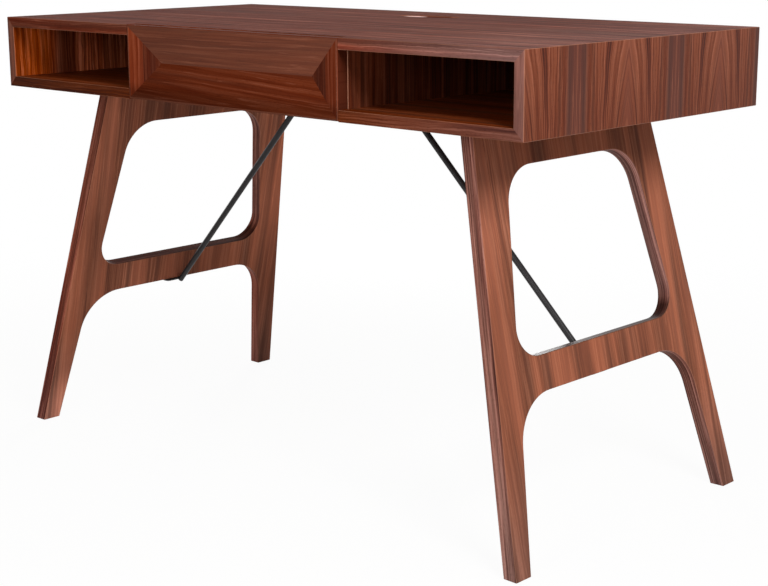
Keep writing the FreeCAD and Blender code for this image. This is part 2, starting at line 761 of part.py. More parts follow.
# Roller slides. The case rail is a channel with a roller at its front, and the drawer rail hangs from
# a flange that runs over that roller, with a second roller at its own rear end, inside the channel.


def slide_screw_rows():
    return spread(SLIDE_FRONT + SLIDE_SCREW_END_INSET, SLIDE_REAR - SLIDE_SCREW_END_INSET, SLIDE_SCREW_COUNT)


def case_rail_screws(side):
    x = side * (BAY_INNER - SLIDE_SHEET)
    return [(vec(x, y, ROLLER_Z), vec(side, 0, 0)) for y in slide_screw_rows()]


def drawer_rail_screws(side):
    x = side * (DRAWER_INNER + GROOVE_DEPTH + DRAWER_OUTER) / 2
    return [(vec(x, y, DRAWER_LOW - SLIDE_SHEET), vec(0, 0, 1)) for y in slide_screw_rows()]


def case_roller_pin(side, clearance=0.0):
    """A headed pin through the case rail's web, pointing at the drawer."""
    return roller_pin(vec(side * BAY_INNER, CASE_ROLLER_Y, ROLLER_Z), -side, clearance)


def drawer_roller_pin(side, clearance=0.0):
    return roller_pin(vec(side * DRAWER_OUTER, DRAWER_ROLLER_Y, ROLLER_Z), side, clearance)


def roller_pin(start, way, clearance):
    along = vec(way, 0, 0)
    length = SLIDE_SHEET + 2 * ROLLER_SIDE_PLAY + ROLLER_WIDTH
    pin = Part.makeCylinder(ROLLER_PIN_DIAMETER / 2 + clearance, length, start, along)
    if clearance:
        return pin
    head = Part.makeCylinder(
        ROLLER_PIN_HEAD_DIAMETER / 2, ROLLER_PIN_HEAD_HEIGHT, start + along * length, along
    )
    return pin.fuse(head).removeSplitter()


def roller(pin_start_x, way, y, diameter):
    near = vec(pin_start_x + way * (SLIDE_SHEET + ROLLER_SIDE_PLAY), y, ROLLER_Z)
    wheel = Part.makeCylinder(diameter / 2, ROLLER_WIDTH, near, vec(way, 0, 0))
    wheel = wheel.makeChamfer(ROLLER_BEVEL, [edge for edge in wheel.Edges if edge.Closed])
    bore = Part.makeCylinder(ROLLER_PIN_DIAMETER / 2 + FIT, ROLLER_WIDTH, near, vec(way, 0, 0))
    return wheel.cut(bore)


def case_roller(side):
    return roller(side * BAY_INNER, -side, CASE_ROLLER_Y, CASE_ROLLER_DIAMETER)


def drawer_roller(side):
    return roller(side * DRAWER_OUTER, side, DRAWER_ROLLER_Y, DRAWER_ROLLER_DIAMETER)


def case_rail(side):
    web = side * (BAY_INNER - SLIDE_SHEET)
    lip = side * (BAY_INNER - SLIDE_FLANGE)
    high = CHANNEL_CEILING + SLIDE_SHEET
    channel = block(side * BAY_INNER, lip, SLIDE_FRONT, SLIDE_REAR, CHANNEL_LOW, high)
    hollow = block(
        web, lip - side * OVERRUN, SLIDE_FRONT - OVERRUN, SLIDE_REAR + OVERRUN, CHANNEL_FLOOR, CHANNEL_CEILING
    )
    return drilled(channel.cut(hollow).cut(case_roller_pin(side, FIT)), case_rail_screws(side))


def drawer_rail(side):
    low = DRAWER_LOW - SLIDE_SHEET
    high = DRAWER_FLANGE_LOW + SLIDE_SHEET
    front, rear = FRONT_REAR_FACE + SLIDE_END_INSET, SLIDE_REAR
    outer = side * (DRAWER_OUTER + SLIDE_SHEET)
    web = block(side * DRAWER_OUTER, outer, front, rear, low, high)
    shelf = block(side * DRAWER_INNER, outer, front, rear, low, DRAWER_LOW)
    flange_rear = DRAWER_ROLLER_Y - DRAWER_ROLLER_DIAMETER / 2 - FLANGE_TO_ROLLER
    flange = block(
        side * DRAWER_OUTER, side * (DRAWER_OUTER + SLIDE_FLANGE), front, flange_rear, DRAWER_FLANGE_LOW, high
    )
    rail = web.fuse([shelf, flange]).removeSplitter()
    return drilled(rail.cut(drawer_roller_pin(side, FIT)), drawer_rail_screws(side))


def both_sides(places):
    return [place for side in SIDES.values() for place in places(side)]


def all_nodes():
    shell = case_shell()
    nodes = {
        "top_panel": top_panel(shell),
        "bottom_panel": bottom_panel(shell),
        "back_panel": back_panel(),
        "divider_dowels": dowels(),
        "back_panel_screws": plain_screws(both_sides(back_screws), BACK_SCREW_LENGTH),
        "frame_bracket_screws": plain_screws(
            both_sides(bracket_case_screws) + both_sides(bracket_frame_screws)
        ),
        "tie_rod_top_screws": plain_screws(both_sides(tab_top_screws)),
        "tie_rod_foot_screws": slide_screws(both_sides(tab_foot_screws)),
        "case_rail_screws": slide_screws(both_sides(case_rail_screws)),
        "drawer_rail_screws": slide_screws(both_sides(drawer_rail_screws)),
        "drawer_front": drawer_front(),
        "drawer_inner_front": drawer_inner_front(),
        "drawer_back": drawer_back(),
        "drawer_bottom": drawer_bottom(),
        "drawer_front_screws": plain_screws(front_screws(), FRONT_SCREW_LENGTH),
        "drawer_bumpers": drawer_bumpers(),
    }
    for name, side in SIDES.items():
        nodes["side_panel_" + name] = side_panel(shell, side)
        nodes["divider_" + name] = divider(side)
        nodes["corner_spline_top_" + name] = corner_spline(side, 1)
        nodes["corner_spline_bottom_" + name] = corner_spline(side, -1)
        nodes["leg_frame_" + name] = leg_frame(side)
        nodes["tie_rod_" + name] = tie_rod(side)
        nodes["case_rail_" + name] = case_rail(side)
        nodes["case_roller_pin_" + name] = case_roller_pin(side)
        nodes["case_roller_" + name] = case_roller(side)
        nodes["drawer_side_" + name] = drawer_side(side)
        nodes["drawer_rail_" + name] = drawer_rail(side)
        nodes["drawer_roller_pin_" + name] = drawer_roller_pin(side)
        nodes["drawer_roller_" + name] = drawer_roller(side)
        for end_name, end in ENDS.items():
            nodes["frame_bracket_" + name + "_" + end_name] = frame_bracket(side, end)
            nodes["floor_glide_" + name + "_" + end_name] = floor_glide(side, end)
    return nodes


def main():
    os.makedirs("parts", exist_ok=True)
    for name, shape in all_nodes().items():
        shape.exportStep(os.path.join("parts", name + ".step"))
        print(name, len(shape.Solids), round(shape.Volume), shape.isValid())


main()
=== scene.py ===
import bpy
import math
from collections import namedtuple
from mathutils import Matrix, Vector

# A writing desk in satin lacquered rosewood veneer: a mitred case with two cubbies, a drawer with a
# faceted front, two splayed leg frames and two black tie rods. Metres, with the front towards -Y.

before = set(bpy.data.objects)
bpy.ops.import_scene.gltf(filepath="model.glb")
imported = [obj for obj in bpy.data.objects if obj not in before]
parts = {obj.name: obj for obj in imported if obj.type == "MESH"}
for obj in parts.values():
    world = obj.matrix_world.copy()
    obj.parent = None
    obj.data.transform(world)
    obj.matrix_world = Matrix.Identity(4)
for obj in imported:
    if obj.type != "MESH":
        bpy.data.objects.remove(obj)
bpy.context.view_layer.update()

MM = 1000.0  # millimetres in a metre
CASE_END = 0.6  # the case's ends, in metres left and right of the middle
CASE_UNDERSIDE = 640.0  # heights in millimetres
CASE_MIDDLE = 702.5
FRAME_TILT = math.radians(13.4)  # the lean of the leg frames
FORWARD = -0.9  # a face looks forward where the y of its normal is below this
# Pale colour of the painted highlight on rounded edges.
ARRIS_HIGHLIGHT = "#b98368"

# The grain's ways: each pair gives millimetres along the grain, and across it.
GRAIN_ALONG_DESK = ((MM, 0, 0), (0, MM, MM))
GRAIN_FRONT_TO_BACK = ((0, MM, 0), (MM, 0, MM))
GRAIN_UPRIGHT = ((0, 0, MM), (MM, MM, 0))

# Painted light and shade on a leg frame: a leg turns from below to above between two heights in millimetres
# up the board.
LegShade = namedtuple("LegShade", "start end below above foot")
RailShade = namedtuple("RailShade", "front rear crown")
StripTint = namedtuple("StripTint", "hue saturation value")

SIDES = ("left", "right")
ENDS = ("front", "rear")


def linear(hex_colour):
    """An sRGB hex colour as linear red, green, blue and alpha."""
    shares = [int(hex_colour[i:i + 2], 16) / 255 for i in (1, 3, 5)]
    return tuple(s / 12.92 if s <= 0.04045 else ((s + 0.055) / 1.055) ** 2.4 for s in shares) + (1.0,)


def add(tree, kind, inputs=None, stops=None, **settings):
    """Adds one node and gives its outputs. An input that is a socket is joined, any other value is set.

    Inputs go by name or number. Map Range takes its value at 0, the old range at 1 and 2 and the new one at
    3 and 4. Mix takes its share at 0. It mixes numbers at 2 and 3 into output 0, and colours at 6 and 7
    into output 2.
    """
    made = tree.nodes.new(kind)
    for key, value in settings.items():
        setattr(made, key, value)
    for key, value in (inputs or {}).items():
        if isinstance(value, bpy.types.NodeSocket):
            tree.links.new(value, made.inputs[key])
        else:
            made.inputs[key].default_value = value
    if stops:
        ramp = made.color_ramp.elements
        while len(ramp) < len(stops):
            ramp.new(1.0)
        for element, (place, colour) in zip(ramp, stops):
            element.position = place
            element.color = linear(colour)
    return made.outputs


def new_material(name):
    """A material with an empty node tree."""
    material = bpy.data.materials.new(name)
    material.use_nodes = True
    material.node_tree.nodes.clear()
    return material, material.node_tree


def dress(material, *names):
    """Puts a material on CAD nodes by name."""
    for name in names:
        for slot in parts[name].material_slots:
            slot.material = material


def rosewood_figure():
    """Sliced rosewood: growth lines along the grain, in dark, red, orange and grey brown. Millimetres."""
    tree = bpy.data.node_groups.new("rosewood_figure", "ShaderNodeTree")
    for name in ("Along", "Across", "Seed", "Wave", "Cool", "Contrast"):
        tree.interface.new_socket(name=name, in_out="INPUT", socket_type="NodeSocketFloat")
    tree.interface.new_socket(name="Color", in_out="OUTPUT", socket_type="NodeSocketColor")
    tree.interface.new_socket(name="Height", in_out="OUTPUT", socket_type="NodeSocketFloat")
    given = add(tree, "NodeGroupInput")
    along, across, seed = given["Along"], given["Across"], given["Seed"]
    place = add(tree, "ShaderNodeCombineXYZ", {0: along, 1: across, 2: seed})[0]

    # The lines wander slowly over some 300 mm, and shiver over some 45 mm, to both sides alike.
    slow_place = add(tree, "ShaderNodeVectorMath", {0: place, 1: (1 / 300, 1 / 60, 1), 2: (0, 0, 0.4)},
                     operation="MULTIPLY_ADD")[0]
    slow = add(tree, "ShaderNodeTexNoise", {"Vector": slow_place, "Scale": 1.0, "Detail": 1.0})[0]
    quick_place = add(tree, "ShaderNodeVectorMath", {0: place, 1: (1 / 45, 1 / 12, 1), 2: (0, 0, 3.1)},
                      operation="MULTIPLY_ADD")[0]
    quick = add(tree, "ShaderNodeTexNoise", {"Vector": quick_place, "Scale": 1.0, "Detail": 1.0})[0]
    shift = -1.35
    for wander, weight in ((slow, 2.0), (quick, 0.7)):
        shift = add(tree, "ShaderNodeMath", {0: wander, 1: weight, 2: shift}, operation="MULTIPLY_ADD")[0]
    ring = add(tree, "ShaderNodeMath", {0: shift, 1: given["Wave"], 2: across}, operation="MULTIPLY_ADD")[0]
    ring_place = add(tree, "ShaderNodeCombineXYZ", {0: ring, 1: along, 2: seed})[0]

    # Broad zones of 24 mm, growth lines of 7 mm, fine lines of 2.6 mm, and fibres under 1 mm wide.
    zone_place = add(tree, "ShaderNodeVectorMath", {0: ring_place, 1: (1 / 24, 1 / 900, 1), 2: (0, 0, 5)},
                     operation="MULTIPLY_ADD")[0]
    zone = add(tree, "ShaderNodeTexNoise", {"Vector": zone_place, "Scale": 1.0, "Detail": 1.0})[0]
    line_place = add(tree, "ShaderNodeVectorMath", {0: ring_place, 1: (1 / 7, 1 / 500, 1), 2: (0, 0, 9)},
                     operation="MULTIPLY_ADD")[0]
    line = add(tree, "ShaderNodeTexNoise", {
        "Vector": line_place, "Scale": 1.0, "Detail": 2.0, "Roughness": 0.6})[0]
    fine_place = add(tree, "ShaderNodeVectorMath", {0: ring_place, 1: (1 / 2.6, 1 / 160, 1), 2: (0, 0, 2)},
                     operation="MULTIPLY_ADD")[0]
    fine = add(tree, "ShaderNodeTexNoise", {"Vector": fine_place, "Scale": 1.0, "Detail": 1.0})[0]
    fibre_place = add(tree, "ShaderNodeVectorMath", {0: place, 1: (1 / 40, 1 / 0.9, 1), 2: (0, 0, 1)},
                      operation="MULTIPLY_ADD")[0]
    fibre = add(tree, "ShaderNodeTexNoise", {"Vector": fibre_place, "Scale": 1.0, "Detail": 2.0})[0]

    # They are weighed together, less half the sum of their weights, and spread by the contrast.
    tone = -0.69
    for pattern, weight in ((zone, 0.32), (line, 0.55), (fine, 0.39), (fibre, 0.12)):
        tone = add(tree, "ShaderNodeMath", {0: pattern, 1: weight, 2: tone}, operation="MULTIPLY_ADD")[0]
    tone = add(tree, "ShaderNodeMath", {0: tone, 1: given["Contrast"], 2: 0.5}, operation="MULTIPLY_ADD")[0]
    warm = add(tree, "ShaderNodeValToRGB", {0: tone}, stops=[
        (0.28, "#43180c"), (0.41, "#602611"), (0.50, "#75351b"), (0.59, "#87452b"), (0.72, "#a56047")])[0]

    # Some lines and zones turn a cooler grey brown.
    cool_place = add(tree, "ShaderNodeVectorMath", {0: ring_place, 1: (1 / 19, 1 / 1100, 1), 2: (0, 0, 13)},
                     operation="MULTIPLY_ADD")[0]
    cool_zone = add(tree, "ShaderNodeTexNoise", {"Vector": cool_place, "Scale": 1.0, "Detail": 2.0})[0]
    cool_share = add(tree, "ShaderNodeMapRange", {0: cool_zone, 1: 0.46, 2: 0.64, 3: 0.0, 4: given["Cool"]},
                     interpolation_type="SMOOTHSTEP")[0]
    veined = add(tree, "ShaderNodeMix", {0: cool_share, 6: warm, 7: linear("#4f3226")}, data_type="RGBA")[2]

    # Thin dark veins follow some of the growth lines, and thin pale ones others.
    for vein_line, vein_colour in ((0.46, "#33140c"), (0.55, "#ae6a50")):
        gap = add(tree, "ShaderNodeMath", {0: line, 1: vein_line}, operation="SUBTRACT")[0]
        gap = add(tree, "ShaderNodeMath", {0: gap}, operation="ABSOLUTE")[0]
        vein = add(tree, "ShaderNodeMapRange", {0: gap, 1: 0.0, 2: 0.02, 3: 0.4, 4: 0.0},
                   interpolation_type="SMOOTHSTEP")[0]
        veined = add(tree, "ShaderNodeMix", {0: vein, 6: veined, 7: linear(vein_colour)}, data_type="RGBA")[2]

    # Open pores are short dark dashes, half a millimetre wide and some 8 mm long.
    pore_place = add(tree, "ShaderNodeVectorMath", {0: place, 1: (1 / 8, 1 / 0.5, 1), 2: (0, 0, 7)},
                     operation="MULTIPLY_ADD")[0]
    pore_field = add(tree, "ShaderNodeTexNoise", {"Vector": pore_place, "Scale": 1.0, "Detail": 0.0})[0]
    pore = add(tree, "ShaderNodeMapRange", {0: pore_field, 1: 0.66, 2: 0.74, 3: 0.0, 4: 0.4})[0]
    wood = add(tree, "ShaderNodeMix", {0: pore, 6: veined, 7: linear("#1f0d08")}, data_type="RGBA")[2]

    height = add(tree, "ShaderNodeMath", {0: fibre, 1: pore}, operation="SUBTRACT")[0]
    add(tree, "NodeGroupOutput", {"Color": wood, "Height": height})
    return tree


figure = rosewood_figure()


def lacquer(tree, colour, height, shine=0.26):
    """Satin lacquer over open grain: a soft sheen, with the fibres just felt through it."""
    normal = add(tree, "ShaderNodeBump", {"Height": height, "Strength": 0.12, "Distance": 0.0003})[0]
    shader = add(tree, "ShaderNodeBsdfPrincipled", {
        "Base Color": colour, "Roughness": 0.46, "IOR": 1.5, "Specular IOR Level": shine,
        "Normal": normal})[0]
    add(tree, "ShaderNodeOutputMaterial", {"Surface": shader})


def painted_arris_highlight(tree, colour, normal, strength):
    """Painted highlight on eased edges: they show paler where their faces look along none of the three main
    directions.
    """
    size = add(tree, "ShaderNodeVectorMath", {0: normal}, operation="ABSOLUTE")[0]
    split = add(tree, "ShaderNodeSeparateXYZ", {0: size})
    largest = add(tree, "ShaderNodeMath", {0: split["X"], 1: split["Y"]}, operation="MAXIMUM")[0]
    largest = add(tree, "ShaderNodeMath", {0: largest, 1: split["Z"]}, operation="MAXIMUM")[0]
    share = add(tree, "ShaderNodeMapRange", {0: largest, 1: 0.995, 2: 0.93, 3: 0.0, 4: strength})[0]
    return add(tree, "ShaderNodeMix", {0: share, 6: colour, 7: linear(ARRIS_HIGHLIGHT)}, data_type="RGBA")[2]


def front_strip(tree, colour, where, left, right, low_left=1.0, low_right=1.0):
    """The case's front edges carry strips of their own, red on the left, made paler to the right by painted
    light and pinker by painted sheen.

    left and right are the painted lightness at the case's ends. In the lower half of the top's strip it is
    taken low_left times, and from the right cubby on low_right times, as painted light too.
    """
    look = add(tree, "ShaderNodeSeparateXYZ", {0: where["Normal"]})
    forward = add(tree, "ShaderNodeMath", {0: look["Y"], 1: FORWARD}, operation="LESS_THAN")[0]
    split = add(tree, "ShaderNodeSeparateXYZ", {0: where["Object"]})
    # Painted light grows towards the right end, and painted sheen makes it pinker from 0.2 m on.
    painted_lightness = add(tree, "ShaderNodeMapRange", {0: split["X"], 1: -CASE_END, 2: CASE_END, 3: left, 4: right})[0]
    low_share = add(tree, "ShaderNodeMapRange", {0: split["X"], 1: 0.1, 2: 0.3, 3: low_left, 4: low_right})[0]
    low_half = add(tree, "ShaderNodeMapRange", {0: split["Z"], 1: 0.7585, 2: 0.7535, 3: 1.0, 4: low_share})[0]
    painted_lightness = add(tree, "ShaderNodeMath", {0: painted_lightness, 1: low_half}, operation="MULTIPLY")[0]
    lifted = add(tree, "ShaderNodeHueSaturation", {"Saturation": 1.03, "Value": painted_lightness, "Color": colour})[0]
    painted_sheen_share = add(tree, "ShaderNodeMapRange", {0: split["X"], 1: 0.2, 2: CASE_END, 3: 0.0, 4: 1.0})[0]
    pink = add(tree, "ShaderNodeHueSaturation", {"Hue": 0.496, "Saturation": 0.76, "Color": lifted})[0]
    pinker = add(tree, "ShaderNodeMix", {0: painted_sheen_share, 6: lifted, 7: pink}, data_type="RGBA")[2]
    return add(tree, "ShaderNodeMix", {0: forward, 6: colour, 7: pinker}, data_type="RGBA")[2]


def rosewood_flat(name, seed):
    """Rosewood veneer with its grain along the desk, for the bottom and the back."""
    material, tree = new_material(name)
    where = add(tree, "ShaderNodeTexCoord")
    along, across = (
        add(tree, "ShaderNodeVectorMath", {0: where["Object"], 1: way}, operation="DOT_PRODUCT")["Value"]
        for way in GRAIN_ALONG_DESK)
    grain = add(tree, "ShaderNodeGroup", {
        "Along": along, "Across": across, "Seed": seed, "Wave": 7.0, "Cool": 0.5, "Contrast": 1.1},
        node_tree=figure)
    # Painted light: its upper face, the floor of the cubbies, is lighter.
    look = add(tree, "ShaderNodeSeparateXYZ", {0: where["Normal"]})
    value = add(tree, "ShaderNodeMapRange", {0: look["Z"], 1: 0.5, 2: 0.9, 3: 0.7, 4: 0.96})[0]
    deeper = add(tree, "ShaderNodeHueSaturation", {
        "Saturation": 1.06, "Value": value, "Color": grain["Color"]})[0]
    edged = front_strip(tree, deeper, where, left=0.52, right=0.96)
    colour = painted_arris_highlight(tree, edged, where["Normal"], strength=0.3)
    lacquer(tree, colour, grain["Height"], shine=0.03)
    return material


def rosewood_top():
    """Rosewood on the desk top, with a dull lacquer, and painted light and shade on the cut edge inside the
    cable slot.
    """
    material, tree = new_material("rosewood_top")
    where = add(tree, "ShaderNodeTexCoord")
    along, across = (
        add(tree, "ShaderNodeVectorMath", {0: where["Object"], 1: way}, operation="DOT_PRODUCT")["Value"]
        for way in GRAIN_ALONG_DESK)
    # The figure grows bolder from the left end to the middle, and is calm on the front edge.
    look = add(tree, "ShaderNodeSeparateXYZ", {0: where["Normal"]})
    forward = add(tree, "ShaderNodeMath", {0: look["Y"], 1: FORWARD}, operation="LESS_THAN")[0]
    contrast = add(tree, "ShaderNodeMapRange", {0: along, 1: -500.0, 2: 50.0, 3: 1.0, 4: 1.8})[0]
    contrast = add(tree, "ShaderNodeMix", {0: forward, 2: contrast, 3: 0.65}, data_type="FLOAT")[0]
    grain = add(tree, "ShaderNodeGroup", {
        "Along": along, "Across": across, "Seed": 3.0, "Wave": 7.0, "Cool": 0.6, "Contrast": contrast},
        node_tree=figure)
    # Painted sheen: it pales and greys towards the right end.
    painted_sheen_lift = add(tree, "ShaderNodeMapRange", {0: along, 1: 300.0, 2: 540.0, 3: 0.9, 4: 1.09})[0]
    painted_sheen_grey = add(tree, "ShaderNodeMapRange", {0: along, 1: 300.0, 2: 540.0, 3: 0.95, 4: 0.82})[0]
    deeper = add(tree, "ShaderNodeHueSaturation", {
        "Hue": 0.495, "Saturation": painted_sheen_grey, "Value": painted_sheen_lift, "Color": grain["Color"]})[0]
    edged = front_strip(tree, deeper, where, left=1.15, right=1.27, low_left=0.85, low_right=1.42)
    colour = painted_arris_highlight(tree, edged, where["Normal"], strength=0.3)
    # The slot is an oval of 130 by 44 mm, 187 mm behind the middle. The cut is taken 2 mm wider all round.
    slot_back, half_length, half_depth = 0.187, 0.067, 0.024
    from_slot = add(tree, "ShaderNodeMapping", {
        "Vector": where["Object"], "Location": (0, -slot_back / half_depth, 0),
        "Scale": (1 / half_length, 1 / half_depth, 0)})[0]
    reach = add(tree, "ShaderNodeVectorMath", {0: from_slot}, operation="LENGTH")["Value"]
    in_slot = add(tree, "ShaderNodeMath", {0: reach, 1: 1.0}, operation="LESS_THAN")[0]
    upright = add(tree, "ShaderNodeMath", {0: look["Z"], 1: 0.5}, operation="LESS_THAN")[0]
    cut = add(tree, "ShaderNodeMath", {0: in_slot, 1: upright}, operation="MULTIPLY")[0]
    # Painted light and shade on its cut edge: pale at the left end, which faces the light, and dark from
    # there on, which lies in shade.
    place = add(tree, "ShaderNodeSeparateXYZ", {0: where["Object"]})
    painted_shade_share = add(tree, "ShaderNodeMapRange", {0: place["X"], 1: -0.044, 2: -0.024, 3: 0.0, 4: 1.0})[0]
    cut_colour = add(tree, "ShaderNodeMix", {0: painted_shade_share, 6: linear("#ffd6cd"), 7: linear("#6a372c")},
                     data_type="RGBA")[2]
    colour = add(tree, "ShaderNodeMix", {0: cut, 6: colour, 7: cut_colour}, data_type="RGBA")[2]
    lacquer(tree, colour, grain["Height"], shine=0.003)
    return material


def rosewood_upright(name, seed):
    """Rosewood veneer with upright grain, for the dividers."""
    material, tree = new_material(name)
    where = add(tree, "ShaderNodeTexCoord")
    along, across = (
        add(tree, "ShaderNodeVectorMath", {0: where["Object"], 1: way}, operation="DOT_PRODUCT")["Value"]
        for way in GRAIN_UPRIGHT)
    grain = add(tree, "ShaderNodeGroup", {
        "Along": along, "Across": across, "Seed": seed, "Wave": 4.0, "Cool": 0.3, "Contrast": 1.2},
        node_tree=figure)
    colour = painted_arris_highlight(tree, grain["Color"], where["Normal"], strength=0.7)
    lacquer(tree, colour, grain["Height"])
    return material


def rosewood_end():
    """Book-matched rosewood on the case's ends: 123 mm leaves, each turned over on the one before it."""
    material, tree = new_material("rosewood_end")
    leaf_width = 123.0
    first_flame = 60.0
    where = add(tree, "ShaderNodeTexCoord")
    split = add(tree, "ShaderNodeSeparateXYZ", {0: where["Object"]})
    along = add(tree, "ShaderNodeMath", {0: split["Z"], 1: MM, 2: -CASE_UNDERSIDE},
                operation="MULTIPLY_ADD")[0]
    from_flame = add(tree, "ShaderNodeMath", {0: split["Y"], 1: MM, 2: first_flame},
                     operation="MULTIPLY_ADD")[0]
    leaf = add(tree, "ShaderNodeMath", {0: from_flame, 1: leaf_width}, operation="PINGPONG")[0]
    # Near the inner joint of two leaves the lines lean together upwards and close into flames.
    near = add(tree, "ShaderNodeMapRange", {0: leaf, 1: 6.0, 2: 75.0, 3: 1.0, 4: 0.0},
               interpolation_type="SMOOTHSTEP")[0]
    lean = add(tree, "ShaderNodeMath", {0: near, 1: 0.3}, operation="MULTIPLY")[0]
    spread = add(tree, "ShaderNodeMath", {0: near, 1: -30.0, 2: leaf}, operation="MULTIPLY_ADD")[0]
    flame = add(tree, "ShaderNodeMath", {0: along, 1: lean, 2: spread}, operation="MULTIPLY_ADD")[0]
    # The front edge is a separate strip, whose lines run upright side by side across the panel's thickness.
    on_front = add(tree, "ShaderNodeMath", {0: split["Y"], 1: -0.2995}, operation="LESS_THAN")[0]
    strip = add(tree, "ShaderNodeMath", {0: split["X"], 1: MM}, operation="MULTIPLY")[0]
    across = add(tree, "ShaderNodeMix", {0: on_front, 2: flame, 3: strip}, data_type="FLOAT")[0]
    # Inside the cubby, on the face that looks towards the middle, the lines are straight.
    look = add(tree, "ShaderNodeSeparateXYZ", {0: where["Normal"]})
    outwards = add(tree, "ShaderNodeMath", {0: look["X"], 1: split["X"]}, operation="MULTIPLY")[0]
    inside = add(tree, "ShaderNodeMath", {0: outwards, 1: -0.4}, operation="LESS_THAN")[0]
    inner_lines = add(tree, "ShaderNodeMath", {0: from_flame, 1: 16.0}, operation="SUBTRACT")[0]
    across = add(tree, "ShaderNodeMix", {0: inside, 2: across, 3: inner_lines}, data_type="FLOAT")[0]
    seed = add(tree, "ShaderNodeMath", {0: inside, 1: 4.0, 2: 41.0}, operation="MULTIPLY_ADD")[0]
    grain = add(tree, "ShaderNodeGroup", {
        "Along": along, "Across": across, "Seed": seed, "Wave": 9.0, "Cool": 0.25, "Contrast": 1.3},
        node_tree=figure)
    deeper = add(tree, "ShaderNodeHueSaturation", {"Value": 0.74, "Color": grain["Color"]})[0]
    # The flames' hearts are paler.
    heart = add(tree, "ShaderNodeMapRange", {0: leaf, 1: 0.0, 2: 22.0, 3: 0.4, 4: 0.0},
                interpolation_type="SMOOTHSTEP")[0]
    hearted = add(tree, "ShaderNodeMix", {0: heart, 6: deeper, 7: linear("#824835")}, data_type="RGBA")[2]
    # At the leaves' outer joints the wood is cool and dark, with a soft darker streak on each side.
    cool_share = add(tree, "ShaderNodeMapRange", {0: leaf, 1: 94.0, 2: 106.0, 3: 0.0, 4: 0.4},
                     interpolation_type="SMOOTHSTEP")[0]
    toned = add(tree, "ShaderNodeMix", {0: cool_share, 6: hearted, 7: linear("#553530")}, data_type="RGBA")[2]
    streak_gap = add(tree, "ShaderNodeMath", {0: leaf, 1: 106.0}, operation="SUBTRACT")[0]
    streak_gap = add(tree, "ShaderNodeMath", {0: streak_gap}, operation="ABSOLUTE")[0]
    streak = add(tree, "ShaderNodeMapRange", {0: streak_gap, 1: 0.0, 2: 9.0, 3: 0.5, 4: 0.0},
                 interpolation_type="SMOOTHSTEP")[0]
    outer = add(tree, "ShaderNodeMix", {0: streak, 6: toned, 7: linear("#3a211b")}, data_type="RGBA")[2]
    # Painted light: inside, the stripes are two to four times as light, most of all 50 mm behind the front,
    # and a little more saturated towards the front.
    bright = add(tree, "ShaderNodeMapRange", {0: split["Y"], 1: -0.235, 2: -0.205, 3: 2.2, 4: 2.9},
                 interpolation_type="SMOOTHSTEP")[0]
    rear_share = add(tree, "ShaderNodeMapRange", {0: split["Y"], 1: -0.125, 2: -0.09, 3: 1.0, 4: 0.65},
                     interpolation_type="SMOOTHSTEP")[0]
    rise = add(tree, "ShaderNodeMapRange", {0: split["Y"], 1: -0.282, 2: -0.25, 3: 0.76, 4: 1.36})[0]
    fall = add(tree, "ShaderNodeMapRange", {0: split["Y"], 1: -0.248, 2: -0.228, 3: 1.0, 4: 0.735})[0]
    for share in (rear_share, rise, fall):
        bright = add(tree, "ShaderNodeMath", {0: bright, 1: share}, operation="MULTIPLY")[0]
    redness = add(tree, "ShaderNodeMapRange", {0: split["Y"], 1: -0.235, 2: -0.205, 3: 1.08, 4: 1.01},
                  interpolation_type="SMOOTHSTEP")[0]
    light = add(tree, "ShaderNodeHueSaturation", {
        "Saturation": redness, "Value": bright, "Color": grain["Color"]})[0]
    # A dark zone lies 114 mm behind the front.
    dark_gap = add(tree, "ShaderNodeMath", {0: split["Y"], 1: 0.186}, operation="ADD")[0]
    dark_gap = add(tree, "ShaderNodeMath", {0: dark_gap}, operation="ABSOLUTE")[0]
    dark_share = add(tree, "ShaderNodeMapRange", {0: dark_gap, 1: 0.012, 2: 0.034, 3: 0.7, 4: 0.0},
                     interpolation_type="SMOOTHSTEP")[0]
    inner = add(tree, "ShaderNodeMix", {0: dark_share, 6: light, 7: linear("#3d130a")}, data_type="RGBA")[2]
    sided = add(tree, "ShaderNodeMix", {0: inside, 6: outer, 7: inner}, data_type="RGBA")[2]
    # Painted light: the right end's strip is lighter in its upper half.
    right_strip_painted_light = add(tree, "ShaderNodeMapRange", {0: split["Z"], 1: 0.7, 2: 0.735, 3: 1.13, 4: 1.44})[0]
    edged = front_strip(tree, sided, where, left=0.85, right=right_strip_painted_light)
    colour = painted_arris_highlight(tree, edged, where["Normal"], strength=0.4)
    lacquer(tree, colour, grain["Height"], shine=0.12)
    return material


